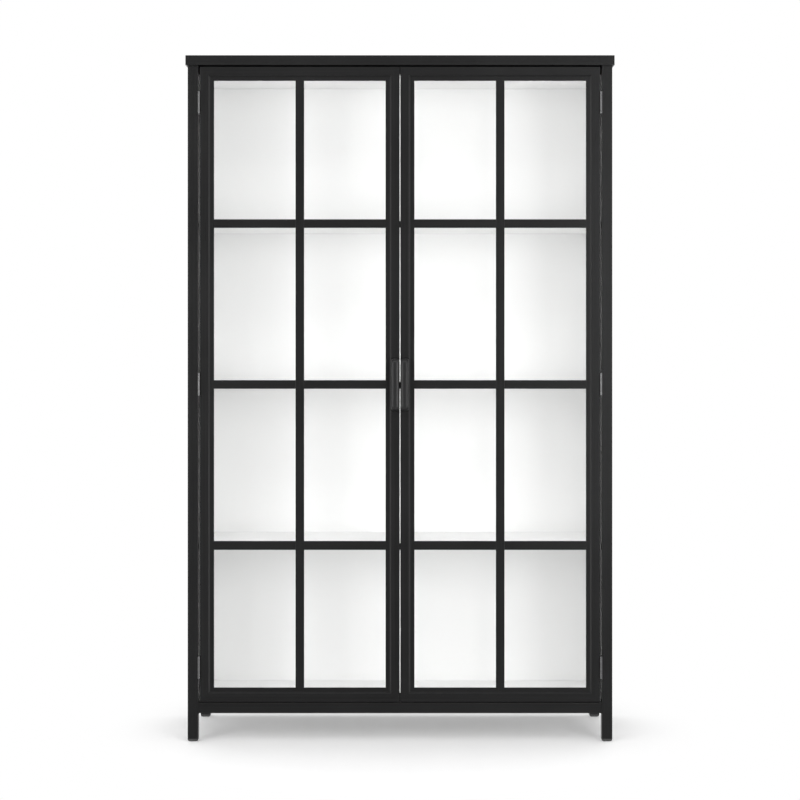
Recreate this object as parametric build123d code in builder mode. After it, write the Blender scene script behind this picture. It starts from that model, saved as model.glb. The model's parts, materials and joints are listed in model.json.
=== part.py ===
from build123d import *
import os

# Two-door glazed display case: a welded square-tube frame with a white interior, three shelves and two framed
# glass doors, each on three butt hinges. Millimetres. X runs to the right, Y to the back, Z up, and the doors
# face -Y. The origin is on the floor, under the middle of the case's overall box, handles included.

# --- driving dimensions: the case ---------------------------------------------------------------------------
CAP_WIDTH = 1220  # widest part of the case
HEIGHT = 1952
DEPTH = 406  # from the door faces to the back, without the handles
CAP_OVERHANG = 6  # at the front and sides; the cap is flush at the back
CAP_HEIGHT = 28
CAP_SHEET = 1.5
CAP_RETURN = 12  # the cap's turned-in lower edge
TUBE = 30  # posts and rails
TUBE_WALL = 1.2
TUBE_CORNER = 1.5
FOOT_HEIGHT = 8
FOOT_CHAMFER = 5.5
BOTTOM_RAIL_Z = 81  # underside of the bottom rails
TOP_RAIL_HEIGHT = 22
FRONT_TOP_RAIL_DEPTH = 25
STOP_SETBACK = 27  # door face to the faces that the doors close against
SIDE_PANEL_SHEET = 1.5
SIDE_PANEL_RECESS = 3  # below the outer face of the frame
LINER = 3  # thickness of the white lining boards
SIDE_LINER_SETBACK = 32  # door face to the front edge of the side liners
BACK_SHEET = 1.2
BACK_EDGE = 10  # back panel to the outside of the rear posts
BACK_SCREW_ROWS = 7
BACK_SCREW_COLUMNS = 5
SCREW_HEAD_HEIGHT = 1.8
SCREW_HEAD_R = 3.5
SCREW_SHANK_R = 1.7
SCREW_LENGTH = 6
SCREW_HOLE_R = 1.75
BOARD = 19  # deck and shelf boards
SHELF_TOPS = {"lower": 561, "middle": 1022, "upper": 1483}
SHELF_SETBACK = 34  # door face to the shelf nosings
NOSING = 3
CLEAT_LEG = 12
CLEAT_THICKNESS = 2
CLEAT_INSET = 20  # shelf front and back to the ends of a cleat
FIT = 0.5  # each end of a board or bar that drops between the liners
DOOR_STOP_HEIGHT = 23.6
DOOR_STOP_SHEET = 1.5
DOOR_STOP_FOOT = 15
BUFFER_R = 4
BUFFER_THICKNESS = 1.8
BUFFER_EASE = 0.6
BUFFER_RISE = 0.33  # share of the top rail's height from its underside to the upper buffers

# --- driving dimensions: the doors --------------------------------------------------------------------------
DOOR_BOTTOM = 113
DOOR_TOP = 1920.5
MEETING_GAP = 2
HINGE_GAP = 4.5
DOOR_TUBE = 25
DOOR_TUBE_WALL = 1.5
BEVEL = 5  # the glazing flange steps back by this, at 45 degrees
FLANGE_THICKNESS = 3
FRAME_WIDTH = 40  # tube and flange together, seen from the front
BAR_WIDTH = 24.5  # glazing bars
BAR_PITCH = 458
BAR_MIDDLE_Z = 1016
SEAL = 1
SEAL_WIDTH = 12
REAR_SEAL_WIDTH = 8
GLASS = 4
GLASS_EDGE = 26  # door edge to glass edge
BEAD = 10
CUT_GAP = 0.3  # between strips that meet at a corner
HANDLE_LENGTH = 148
HANDLE_WIDTH = 22
HANDLE_EDGE = 2.5  # thickness of the handle bar at its long edges
HANDLE_THICKNESS = 7
HANDLE_PROJECTION = 28
HANDLE_BEND = 6
HANDLE_SCREW_R = 2
HANDLE_SCREW_OFFSET = 3  # from the inner face of a leg to its screw
HANDLE_SCREW_DEPTH = 10
HANDLE_SCREW_HEAD_R = 3.8
HANDLE_SCREW_HEAD_HEIGHT = 2.2
SCREW_CLEARANCE = 0.2
THREAD_CLEARANCE = 0.02
HINGE_LENGTH = 63
HINGE_HEIGHTS = (211, 1017, 1818.5)
KNUCKLE_R = 3.2
KNUCKLE_GAP = 0.6
KNUCKLES = 3  # in each hinge
PIN_R = 1.5
PIN_HEAD_R = 2.6
PIN_HEAD_HEIGHT = 1.2
PIN_RUNNING = 0.05  # radial clearance in the door's knuckle
PIN_FIXED = 0.02  # radial clearance in the case's knuckles
LEAF = 1.5
LEAF_REACH = 20  # door face to the rear edge of a leaf
LEAF_NOTCH = 3.8  # hinge axis to the front edge of a leaf
NECK = (1.6, 4.0)  # the strap that joins a leaf to its knuckles, behind the hinge axis
AXIS_PROUD = 3.4  # hinge axis in front of the door faces
STRIKE = (40, 1.2, 20)
STRIKE_Z = 1889.5
CATCH = (46, 16, 14)
CATCH_EASE = 1
CATCH_X = 60
CATCH_PROUD = 0.3  # catch in front of the rail that it hangs from

# --- places worked out from the driving dimensions ----------------------------------------------------------
FRONT = -(DEPTH - HANDLE_PROJECTION) / 2  # door faces and front of the posts
REAR = FRONT + DEPTH - BACK_SHEET - SCREW_HEAD_HEIGHT  # back of the rear posts
OUTER_X = CAP_WIDTH / 2 - CAP_OVERHANG
INNER_X = OUTER_X - TUBE
LINER_X = INNER_X - LINER
CAP_Z = HEIGHT - CAP_HEIGHT
TOP_RAIL_Z = CAP_Z - TOP_RAIL_HEIGHT
DECK_TOP = BOTTOM_RAIL_Z + TUBE
BACK_LINER_Y = REAR - TUBE - LINER
STOP_Y = FRONT + STOP_SETBACK
SHELF_FRONT = FRONT + SHELF_SETBACK
HINGE_EDGE = INNER_X - HINGE_GAP  # door edge beside the post
MEETING_EDGE = MEETING_GAP / 2
DOOR_CENTRE = (HINGE_EDGE + MEETING_EDGE) / 2
DOOR_HEIGHT = DOOR_TOP - DOOR_BOTTOM
FLANGE_Y = FRONT + BEVEL  # front of the flange's flat and of the glazing bars
FLANGE_BACK_Y = FLANGE_Y + FLANGE_THICKNESS
GLASS_Y = FLANGE_BACK_Y + SEAL
BEAD_Y = GLASS_Y + GLASS + SEAL
HINGE_X = INNER_X - HINGE_GAP / 2
HINGE_Y = FRONT - AXIS_PROUD
HANDLE_X = MEETING_EDGE + DOOR_TUBE / 2
HANDLE_REACH = HANDLE_LENGTH / 2 - HANDLE_THICKNESS  # handle's middle to the inner face of each leg
HANDLE_SCREWS = [BAR_MIDDLE_Z + s * (HANDLE_REACH + HANDLE_SCREW_OFFSET) for s in (-1, 1)]
SIDES = {"left": -1, "right": 1}


def save(piece, name):
    """Label a finished piece and write it to its own STEP file."""
    piece.part.label = name
    export_step(piece.part, f"parts/{name}.step")


def block(x, y, z, mode=Mode.ADD):
    """Put a block that fills the three (low, high) spans into the part that is being built."""
    spans = (x, y, z)
    with Locations(tuple((low + high) / 2 for low, high in spans)):
        Box(*[high - low for low, high in spans], mode=mode)


def side_span(side, near, far):
    """A span of X on one side of the middle, as (low, high), from two distances to the middle."""
    return tuple(sorted((side * near, side * far)))


def drill(spots, radius, depth):
    """Cut holes that run from each spot towards +Y into the part that is being built."""
    for x, y, z in spots:
        with Locations((x, y + depth / 2, z)):
            Cylinder(radius, depth, rotation=(90, 0, 0), mode=Mode.SUBTRACT)


def board(name, x, y, z):
    """A plain rectangular board or sheet."""
    with BuildPart() as piece:
        block(x, y, z)
    save(piece, name)


def tube(name, start, end, width, height, holes=()):
    """Rectangular tube between two points. Its width lies along Y if it runs along X, and along X otherwise."""
    run = Vector(*end) - Vector(*start)
    across = (0, 1, 0) if run.X else (1, 0, 0)
    with BuildPart() as piece:
        with BuildSketch(Plane(origin=start, x_dir=across, z_dir=run)):
            RectangleRounded(width, height, TUBE_CORNER)
            bore = (width - 2 * TUBE_WALL, height - 2 * TUBE_WALL)
            RectangleRounded(*bore, TUBE_CORNER - TUBE_WALL, mode=Mode.SUBTRACT)
        extrude(amount=run.length)
        drill(holes, SCREW_HOLE_R, SCREW_LENGTH)
    save(piece, name)


# --- the frame ----------------------------------------------------------------------------------------------
def back_screw_spots():
    """Screws of the back panel: a row up each rear post and one along each rear rail, at the panel's face."""
    x_edge = INNER_X + TUBE / 2 - BACK_EDGE / 2
    low = BOTTOM_RAIL_Z + TUBE / 2
    high = TOP_RAIL_Z + TOP_RAIL_HEIGHT / 2
    step_z = (high - low) / (BACK_SCREW_ROWS - 1)
    step_x = 2 * x_edge / (BACK_SCREW_COLUMNS - 1)
    posts = [(s * x_edge, low + i * step_z) for s in (-1, 1) for i in range(BACK_SCREW_ROWS)]
    rails = [(-x_edge + i * step_x, z) for z in (low, high) for i in range(1, BACK_SCREW_COLUMNS - 1)]
    return [(x, REAR + BACK_SHEET, z) for x, z in posts + rails]


def holes_where(inside):
    """Holes for the back screws that fall where inside(x, z) is true, just under the panel."""
    return [(x, REAR + BACK_SHEET - SCREW_LENGTH, z) for x, _, z in back_screw_spots() if inside(x, z)]


def posts():
    middle = INNER_X + TUBE / 2
    for end, y in (("front", FRONT + TUBE / 2), ("rear", REAR - TUBE / 2)):
        for side, sign in SIDES.items():
            holes = holes_where(lambda x, z: x * sign > INNER_X) if end == "rear" else ()
            foot = (sign * middle, y, FOOT_HEIGHT)
            tube(f"post_{end}_{side}", foot, (sign * middle, y, CAP_Z), TUBE, TUBE, holes)


def rails():
    middle_z = BOTTOM_RAIL_Z + TUBE / 2
    top_z = TOP_RAIL_Z + TOP_RAIL_HEIGHT / 2
    stop_rail_y = STOP_Y + FRONT_TOP_RAIL_DEPTH / 2
    low_holes = holes_where(lambda x, z: abs(x) < INNER_X and z < DECK_TOP)
    high_holes = holes_where(lambda x, z: abs(x) < INNER_X and z > DECK_TOP)
    across = (
        ("bottom_rail_front", FRONT + TUBE / 2, middle_z, TUBE, TUBE, ()),
        ("bottom_rail_rear", REAR - TUBE / 2, middle_z, TUBE, TUBE, low_holes),
        ("top_rail_front", stop_rail_y, top_z, FRONT_TOP_RAIL_DEPTH, TOP_RAIL_HEIGHT, ()),
        ("top_rail_rear", REAR - TUBE / 2, top_z, TUBE, TOP_RAIL_HEIGHT, high_holes),
    )
    for name, y, z, width, height, holes in across:
        tube(name, (-INNER_X, y, z), (INNER_X, y, z), width, height, holes)
    for side, sign in SIDES.items():
        x = sign * (INNER_X + TUBE / 2)
        for name, z, height in (("bottom", middle_z, TUBE), ("top", top_z, TOP_RAIL_HEIGHT)):
            start = (x, FRONT + TUBE, z)
            tube(f"{name}_rail_{side}", start, (x, REAR - TUBE, z), TUBE, height)


def top_cap():
    """Folded steel pan: rounded outside, open below, with its lower edge turned in."""
    half = CAP_WIDTH / 2
    y = (FRONT - CAP_OVERHANG, REAR + BACK_SHEET)
    shrink = [(-half + d, half - d) for d in (CAP_SHEET, CAP_RETURN)]
    with BuildPart() as cap:
        block((-half, half), y, (CAP_Z, HEIGHT))
        fillet(cap.edges().filter_by(Axis.Z) + cap.edges().group_by(Axis.Z)[-1], radius=CAP_SHEET)
        inner_y = (y[0] + CAP_SHEET, y[1] - CAP_SHEET)
        block(shrink[0], inner_y, (CAP_Z + CAP_SHEET, HEIGHT - CAP_SHEET), mode=Mode.SUBTRACT)
        mouth_y = (y[0] + CAP_RETURN, y[1] - CAP_RETURN)
        block(shrink[1], mouth_y, (CAP_Z, CAP_Z + CAP_SHEET), mode=Mode.SUBTRACT)
    save(cap, "top_cap")


def foot_glides():
    """Plastic plugs: a pad under each post, drawn in towards the floor, and a stem inside the tube."""
    stem = TUBE - 2 * TUBE_WALL - FIT
    sole = TUBE - 2 * FOOT_CHAMFER
    middle = INNER_X + TUBE / 2
    spots = [(sx * middle, y) for sx in (-1, 1) for y in (FRONT + TUBE / 2, REAR - TUBE / 2)]
    with BuildPart() as glides:
        for spot in spots:
            with BuildSketch(mode=Mode.PRIVATE) as floor_face:
                with Locations(spot):
                    RectangleRounded(sole, sole, TUBE_CORNER)
            with BuildSketch(Plane.XY.offset(FOOT_CHAMFER), mode=Mode.PRIVATE) as widest_face:
                with Locations(spot):
                    RectangleRounded(TUBE, TUBE, TUBE_CORNER)
            loft(sections=[floor_face.sketch, widest_face.sketch])
            extrude(widest_face.sketch, amount=FOOT_HEIGHT - FOOT_CHAMFER)
            with BuildSketch(Plane.XY.offset(FOOT_HEIGHT)):
                with Locations(spot):
                    Rectangle(stem, stem)
            extrude(amount=2 * FOOT_HEIGHT)
    save(glides, "foot_glides")


# --- panels and lining --------------------------------------------------------------------------------------
def panels():
    upright = (DECK_TOP, TOP_RAIL_Z)
    full_width = (-INNER_X, INNER_X)
    frame_depth = (FRONT + TUBE, REAR - TUBE)
    skin_x = OUTER_X - SIDE_PANEL_RECESS
    for side, sign in SIDES.items():
        skin = side_span(sign, skin_x - SIDE_PANEL_SHEET, skin_x)
        board(f"side_panel_{side}", skin, frame_depth, upright)
        liner_y = (FRONT + SIDE_LINER_SETBACK, BACK_LINER_Y)
        board(f"side_liner_{side}", side_span(sign, LINER_X, INNER_X), liner_y, upright)
    board("back_liner", full_width, (BACK_LINER_Y, REAR - TUBE), upright)
    board("deck_board", full_width, frame_depth, (DECK_TOP - BOARD, DECK_TOP))
    ceiling_y = (STOP_Y + FRONT_TOP_RAIL_DEPTH, REAR - TUBE)
    board("ceiling_panel", full_width, ceiling_y, (TOP_RAIL_Z, TOP_RAIL_Z + LINER))


def back_panel():
    """Steel sheet over the rear of the frame, drilled for its screws."""
    half = OUTER_X - BACK_EDGE
    with BuildPart() as panel:
        z = (BOTTOM_RAIL_Z + BACK_EDGE / 2, CAP_Z - BACK_EDGE / 2)
        block((-half, half), (REAR, REAR + BACK_SHEET), z)
        drill([(x, REAR, z) for x, _, z in back_screw_spots()], SCREW_HOLE_R, BACK_SHEET)
    save(panel, "back_panel")


def back_screws():
    """Pan-head screws that hold the back panel to the rear posts and rails."""
    with BuildPart() as screws:
        for x, y, z in back_screw_spots():
            with Locations(Plane(origin=(x, y, z), z_dir=(0, 1, 0))):
                Cylinder(SCREW_HEAD_R, SCREW_HEAD_HEIGHT, align=(Align.CENTER, Align.CENTER, Align.MIN))
                Cylinder(SCREW_SHANK_R, SCREW_LENGTH, align=(Align.CENTER, Align.CENTER, Align.MAX))
        fillet(screws.edges().group_by(Axis.Y)[-1], radius=SCREW_HEAD_HEIGHT / 2)
    save(screws, "back_screws")


def shelves():
    """Three boards between the liners, and the steel bars along their front edges."""
    half = LINER_X - FIT
    depth = (SHELF_FRONT + NOSING, BACK_LINER_Y)
    for name, top in SHELF_TOPS.items():
        board(f"shelf_board_{name}", (-half, half), depth, (top - BOARD, top))
    with BuildPart() as nosings:
        for top in SHELF_TOPS.values():
            block((-half, half), (SHELF_FRONT, depth[0]), (top - BOARD, top))
    save(nosings, "shelf_nosings")


def shelf_cleats():
    """Angle under each end of each shelf, fixed to the side liners."""
    y = (SHELF_FRONT + CLEAT_INSET, BACK_LINER_Y - CLEAT_INSET)
    inner = LINER_X - CLEAT_LEG
    with BuildPart() as cleats:
        for top in SHELF_TOPS.values():
            under = top - BOARD
            for sign in SIDES.values():
                upright = side_span(sign, LINER_X - CLEAT_THICKNESS, LINER_X)
                block(upright, y, (under - CLEAT_LEG, under))
                block(side_span(sign, inner, LINER_X), y, (under - CLEAT_THICKNESS, under))
    save(cleats, "shelf_cleats")


def door_stop():
    """Angle on the bottom rail and deck that the doors close against."""
    half = LINER_X - FIT
    with BuildPart() as stop:
        foot_y = (STOP_Y, STOP_Y + DOOR_STOP_FOOT)
        block((-half, half), foot_y, (DECK_TOP, DECK_TOP + DOOR_STOP_SHEET))
        block((-half, half), (STOP_Y, STOP_Y + DOOR_STOP_SHEET), (DECK_TOP, DECK_TOP + DOOR_STOP_HEIGHT))
    save(stop, "door_stop")


def door_buffers():
    """Rubber discs on the top rail and the stop, behind the four corners of each door."""
    low = DECK_TOP + DOOR_STOP_HEIGHT / 2
    high = TOP_RAIL_Z + TOP_RAIL_HEIGHT * BUFFER_RISE
    columns = (HANDLE_X, HINGE_EDGE - DOOR_TUBE / 2)
    with BuildPart() as buffers:
        for z in (low, high):
            for x in [sign * column for sign in SIDES.values() for column in columns]:
                with Locations((x, STOP_Y - BUFFER_THICKNESS / 2, z)):
                    Cylinder(BUFFER_R, BUFFER_THICKNESS, rotation=(90, 0, 0))
        fillet(buffers.edges().group_by(Axis.Y)[0], radius=BUFFER_EASE)
    save(buffers, "door_buffers")


def magnetic_catches():
    """Catch housings under the front top rail, one for each door, rounded on their lower edges."""
    width, depth, height = CATCH
    with BuildPart() as catches:
        for sign in SIDES.values():
            with Locations((sign * CATCH_X, STOP_Y - CATCH_PROUD + depth / 2, TOP_RAIL_Z - height / 2)):
                Box(width, depth, height)
        fillet(catches.edges().group_by(Axis.Z)[0], radius=CATCH_EASE)
    save(catches, "magnetic_catches")


# --- the doors ----------------------------------------------------------------------------------------------
def frame_member(name, corner, inward, length, holes=()):
    """Door stile or rail: a square tube with a bevelled glazing flange, mitred at both ends.

    corner is the middle of the member's outer front edge, and inward points from there to the glass."""
    inward = Vector(*inward)
    along = inward.cross(Vector(0, 1, 0))
    place = Plane(origin=corner, x_dir=inward, z_dir=along)
    bevel_start = DOOR_TUBE - DOOR_TUBE_WALL
    with BuildPart() as member:
        with BuildSketch(place):
            with Locations((DOOR_TUBE / 2, DOOR_TUBE / 2)):
                RectangleRounded(DOOR_TUBE, DOOR_TUBE, TUBE_CORNER)
            with BuildLine():
                Polyline(
                    (bevel_start, 0),
                    (bevel_start + BEVEL, BEVEL),
                    (FRAME_WIDTH, BEVEL),
                    (FRAME_WIDTH, BEVEL + FLANGE_THICKNESS),
                    (bevel_start, BEVEL + FLANGE_THICKNESS),
                    close=True,
                )
            make_face()
            with Locations((DOOR_TUBE / 2, DOOR_TUBE / 2)):
                bore = DOOR_TUBE - 2 * DOOR_TUBE_WALL
                Rectangle(bore, bore, mode=Mode.SUBTRACT)
        extrude(amount=length / 2, both=True)
        for end in (-1, 1):
            tip = Vector(*corner) + along * (end * length / 2)
            split(bisect_by=Plane(origin=tip, z_dir=inward + along * end), keep=Keep.BOTTOM)
        drill(holes, HANDLE_SCREW_R + SCREW_CLEARANCE, DOOR_TUBE)
    save(member, name)


def door_frame(side, sign):
    middle_z = (DOOR_BOTTOM + DOOR_TOP) / 2
    width = HINGE_EDGE - MEETING_EDGE
    holes = [(sign * HANDLE_X, FRONT, z) for z in HANDLE_SCREWS]
    centre = sign * DOOR_CENTRE
    frame_member(f"door_{side}_hinge_stile", (sign * HINGE_EDGE, FRONT, middle_z), (-sign, 0, 0), DOOR_HEIGHT)
    meeting = (sign * MEETING_EDGE, FRONT, middle_z)
    frame_member(f"door_{side}_meeting_stile", meeting, (sign, 0, 0), DOOR_HEIGHT, holes)
    frame_member(f"door_{side}_top_rail", (centre, FRONT, DOOR_TOP), (0, 0, -1), width)
    frame_member(f"door_{side}_bottom_rail", (centre, FRONT, DOOR_BOTTOM), (0, 0, 1), width)


def opening(inset):
    """The door's X span as distances from the case's middle, and its Z span, less an inset all round."""
    return (MEETING_EDGE + inset, HINGE_EDGE - inset), (DOOR_BOTTOM + inset, DOOR_TOP - inset)


def bar_heights():
    return [BAR_MIDDLE_Z + i * BAR_PITCH for i in (-1, 0, 1)]


def glazing_bars(side, sign):
    """A vertical bar the full height of the opening, and three rows of bars cut to fit each side of it."""
    (near, far), z = opening(FRAME_WIDTH)
    y = (FLANGE_Y, FLANGE_BACK_Y)
    split_x = (DOOR_CENTRE - BAR_WIDTH / 2, DOOR_CENTRE + BAR_WIDTH / 2)
    board(f"door_{side}_vertical_bar", side_span(sign, *split_x), y, z)
    with BuildPart() as bars:
        for height in bar_heights():
            for span in ((near, split_x[0]), (split_x[1], far)):
                block(side_span(sign, *span), y, (height - BAR_WIDTH / 2, height + BAR_WIDTH / 2))
    save(bars, f"door_{side}_horizontal_bars")


def ring_of_strips(sign, inset, width, y):
    """Four strips round the glass, cut a hair short where they meet, in the part that is being built."""
    (near, far), (low, high) = opening(inset)
    for span in ((near, near + width), (far - width, far)):
        block(side_span(sign, *span), y, (low, high))
    for span in ((low, low + width), (high - width, high)):
        block(side_span(sign, near + width + CUT_GAP, far - width - CUT_GAP), y, span)


def glazing(side, sign):
    """The glass, the seals in front of it and behind it, and the beads that hold it."""
    x, z = opening(GLASS_EDGE)
    board(f"door_{side}_glass", side_span(sign, *x), (GLASS_Y, GLASS_Y + GLASS), z)
    front_seal = (FLANGE_BACK_Y, GLASS_Y)
    rear_seal = (GLASS_Y + GLASS, BEAD_Y)
    seal_inset = FRAME_WIDTH - SEAL_WIDTH - SEAL
    (near, far), (low, high) = opening(seal_inset + SEAL_WIDTH)
    split_x = (DOOR_CENTRE - SEAL_WIDTH / 2, DOOR_CENTRE + SEAL_WIDTH / 2)
    with BuildPart() as seal:
        ring_of_strips(sign, seal_inset, SEAL_WIDTH, front_seal)
        ring_of_strips(sign, seal_inset, REAR_SEAL_WIDTH, rear_seal)
        block(side_span(sign, *split_x), front_seal, (low, high))
        for height in bar_heights():
            block(side_span(sign, near, far), front_seal, (height - SEAL_WIDTH / 2, height + SEAL_WIDTH / 2))
    save(seal, f"door_{side}_glazing_seal")
    with BuildPart() as beads:
        ring_of_strips(sign, DOOR_TUBE, BEAD, (BEAD_Y, BEAD_Y + BEAD))
    save(beads, f"door_{side}_glass_beads")


def handle(side, sign):
    """Pull handle: a half-oval bar bent back to the door at both ends, tapped for its screws."""
    x = sign * HANDLE_X
    grip_y = FRONT - HANDLE_PROJECTION + HANDLE_THICKNESS
    top = BAR_MIDDLE_Z + HANDLE_REACH
    bottom = BAR_MIDDLE_Z - HANDLE_REACH
    half = HANDLE_WIDTH / 2
    with BuildPart() as grip:
        with BuildLine():
            FilletPolyline(
                (x, FRONT, top), (x, grip_y, top), (x, grip_y, bottom), (x, FRONT, bottom), radius=HANDLE_BEND
            )
        with BuildSketch(Plane(origin=(x, FRONT, top), x_dir=(1, 0, 0), z_dir=(0, -1, 0))):
            with BuildLine():
                Polyline((-half, HANDLE_EDGE), (-half, 0), (half, 0), (half, HANDLE_EDGE))
                ThreePointArc((half, HANDLE_EDGE), (0, HANDLE_THICKNESS), (-half, HANDLE_EDGE))
            make_face()
        sweep()
        spots = [(x, FRONT - HANDLE_SCREW_DEPTH, z) for z in HANDLE_SCREWS]
        drill(spots, HANDLE_SCREW_R + THREAD_CLEARANCE, HANDLE_SCREW_DEPTH)
    save(grip, f"door_{side}_handle")
    with BuildPart() as screws:
        for z in HANDLE_SCREWS:
            with Locations(Plane(origin=(x, FRONT + DOOR_TUBE, z), z_dir=(0, 1, 0))):
                low = (Align.CENTER, Align.CENTER, Align.MIN)
                high = (Align.CENTER, Align.CENTER, Align.MAX)
                Cylinder(HANDLE_SCREW_HEAD_R, HANDLE_SCREW_HEAD_HEIGHT, align=low)
                Cylinder(HANDLE_SCREW_R, DOOR_TUBE + HANDLE_SCREW_DEPTH, align=high)
        fillet(screws.edges().group_by(Axis.Y)[-1], radius=HANDLE_SCREW_HEAD_HEIGHT / 2)
    save(screws, f"door_{side}_handle_screws")


def strike_plate(side, sign):
    width, thickness, height = STRIKE
    x = side_span(sign, CATCH_X - width / 2, CATCH_X + width / 2)
    y = (FRONT + DOOR_TUBE, FRONT + DOOR_TUBE + thickness)
    board(f"door_{side}_strike_plate", x, y, (STRIKE_Z, STRIKE_Z + height))


# --- the hinges ---------------------------------------------------------------------------------------------
def knuckle_spans(low, owner):
    """Heights of the knuckles of one hinge: the case has the outer two and the door the middle one."""
    step = (HINGE_LENGTH + KNUCKLE_GAP) / KNUCKLES
    numbers = (0, 2) if owner == "case" else (1,)
    return [(low + i * step, low + (i + 1) * step - KNUCKLE_GAP) for i in numbers]


def leaf_set(name, signs, owner, bore):
    """Hinge leaves, each a plate in the gap beside the door with its own knuckles in front."""
    outward = 1 if owner == "case" else -1
    reach = LEAF_REACH + AXIS_PROUD
    face = HINGE_GAP / 2
    with BuildPart() as leaves:
        for sign in signs:
            for height in HINGE_HEIGHTS:
                low = height - HINGE_LENGTH / 2
                spine = HINGE_X + outward * face
                plate = side_span(sign, spine - outward * LEAF, spine)
                block(plate, (HINGE_Y + LEAF_NOTCH, HINGE_Y + reach), (low, low + HINGE_LENGTH))
                for bottom, top in knuckle_spans(low, owner):
                    with Locations((sign * HINGE_X, HINGE_Y, (bottom + top) / 2)):
                        Cylinder(KNUCKLE_R, top - bottom)
                    block(plate, (HINGE_Y + NECK[0], HINGE_Y + NECK[1]), (bottom, top))
                with Locations((sign * HINGE_X, HINGE_Y, height)):
                    Cylinder(bore, HINGE_LENGTH, mode=Mode.SUBTRACT)
    save(leaves, name)


def hinge_pins():
    """One pin for each hinge, with a flat head at each end."""
    with BuildPart() as pins:
        for sign in SIDES.values():
            for height in HINGE_HEIGHTS:
                with Locations((sign * HINGE_X, HINGE_Y, height)):
                    Cylinder(PIN_R, HINGE_LENGTH + 2 * PIN_HEAD_HEIGHT)
                for end in (-1, 1):
                    head_z = height + end * (HINGE_LENGTH + PIN_HEAD_HEIGHT) / 2
                    with Locations((sign * HINGE_X, HINGE_Y, head_z)):
                        Cylinder(PIN_HEAD_R, PIN_HEAD_HEIGHT)
    save(pins, "hinge_pins")


os.makedirs("parts", exist_ok=True)
posts()
rails()
top_cap()
foot_glides()
panels()
back_panel()
back_screws()
shelves()
shelf_cleats()
door_stop()
door_buffers()
magnetic_catches()
leaf_set("hinge_case_leaves", SIDES.values(), "case", PIN_R + PIN_FIXED)
hinge_pins()
for door_side, door_sign in SIDES.items():
    door_frame(door_side, door_sign)
    glazing_bars(door_side, door_sign)
    glazing(door_side, door_sign)
    handle(door_side, door_sign)
    strike_plate(door_side, door_sign)
    leaf_set(f"door_{door_side}_hinge_leaves", [door_sign], "door", PIN_R + PIN_RUNNING)
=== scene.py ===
"""Finishes and fine detail for a two-door glazed display case.

Lengths are metres, X runs to the right, Y to the back and Z up. The frame, panels, boards and glass are
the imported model's own nodes, with finishes and, on thin parts, eased edges. Handles, hinges, screws, seals,
glides, buffers and catches are worked out here as surfaces and stand for the plain nodes. Weld beads, the
screws of the hinges and beads, and the catches' pole plates are added.
"""
import json

import bmesh
import bpy
import numpy as np
from bpy.props import FloatProperty, FloatVectorProperty, IntProperty, PointerProperty
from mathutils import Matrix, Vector


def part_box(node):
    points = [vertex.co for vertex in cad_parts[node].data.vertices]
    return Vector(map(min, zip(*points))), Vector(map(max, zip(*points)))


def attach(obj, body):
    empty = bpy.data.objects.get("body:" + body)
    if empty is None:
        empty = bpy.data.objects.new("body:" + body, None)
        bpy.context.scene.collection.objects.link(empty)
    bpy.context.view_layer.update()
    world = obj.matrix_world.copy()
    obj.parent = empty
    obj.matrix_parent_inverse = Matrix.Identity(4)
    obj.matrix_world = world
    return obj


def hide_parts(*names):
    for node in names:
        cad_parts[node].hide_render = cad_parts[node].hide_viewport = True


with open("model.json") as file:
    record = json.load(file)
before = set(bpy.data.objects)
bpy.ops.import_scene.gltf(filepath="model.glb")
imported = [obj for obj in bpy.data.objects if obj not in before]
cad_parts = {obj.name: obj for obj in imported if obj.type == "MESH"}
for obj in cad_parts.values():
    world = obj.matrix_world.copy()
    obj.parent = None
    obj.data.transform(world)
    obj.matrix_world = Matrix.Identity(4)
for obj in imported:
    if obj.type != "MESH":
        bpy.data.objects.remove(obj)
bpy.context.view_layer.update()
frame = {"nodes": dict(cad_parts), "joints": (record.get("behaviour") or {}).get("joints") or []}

bl_info = {
    "name": "Glazed Display Case",
    "version": (1, 0, 0),
    "blender": (4, 5, 0),
    "location": "View3D > Sidebar > Display Case",
    "description": "Finishes and fine detail for a two-door glazed display case",
    "category": "Object",
}

MM = 0.001
CRISP = np.radians(50)  # an edge that turns more than this keeps its line in the shading
SIDES = {"left": -1, "right": 1}
JOINTS = {joint["name"]: joint for joint in frame["joints"]}


# --- settings -----------------------------------------------------------------------------------------------
COLOUR = {"subtype": "COLOR", "size": 3, "min": 0, "max": 1}
SHARE = {"subtype": "FACTOR", "min": 0, "max": 1}
LENGTH = {"unit": "LENGTH", "min": 0}
POWER = {"unit": "POWER", "min": 0}


class CaseFinish(bpy.types.PropertyGroup):
    """Colours and surface qualities of the case"""

    paint: FloatVectorProperty(
        name="Black paint", description="Powder coat on the steel frame", default=(0.0048, 0.0048, 0.0049),
        **COLOUR,
    )
    paint_roughness: FloatProperty(
        name="Paint roughness", description="Sheen of the powder coat", default=0.37, **SHARE
    )
    hinge: FloatVectorProperty(
        name="Hinge paint", description="Black on the hinges", default=(0.02, 0.02, 0.021), **COLOUR
    )
    lacquer: FloatVectorProperty(
        name="White lacquer", description="Boards and lining", default=(0.92, 0.92, 0.917), **COLOUR
    )
    plating: FloatVectorProperty(
        name="Zinc plating", description="Screws and strike plates", default=(0.46, 0.47, 0.465), **COLOUR
    )
    rubber: FloatVectorProperty(
        name="Rubber", description="Seals and door buffers", default=(0.016, 0.016, 0.016), **COLOUR
    )
    plastic: FloatVectorProperty(
        name="Black plastic", description="Foot glides and catch housings", default=(0.018, 0.018, 0.018),
        **COLOUR,
    )


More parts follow.
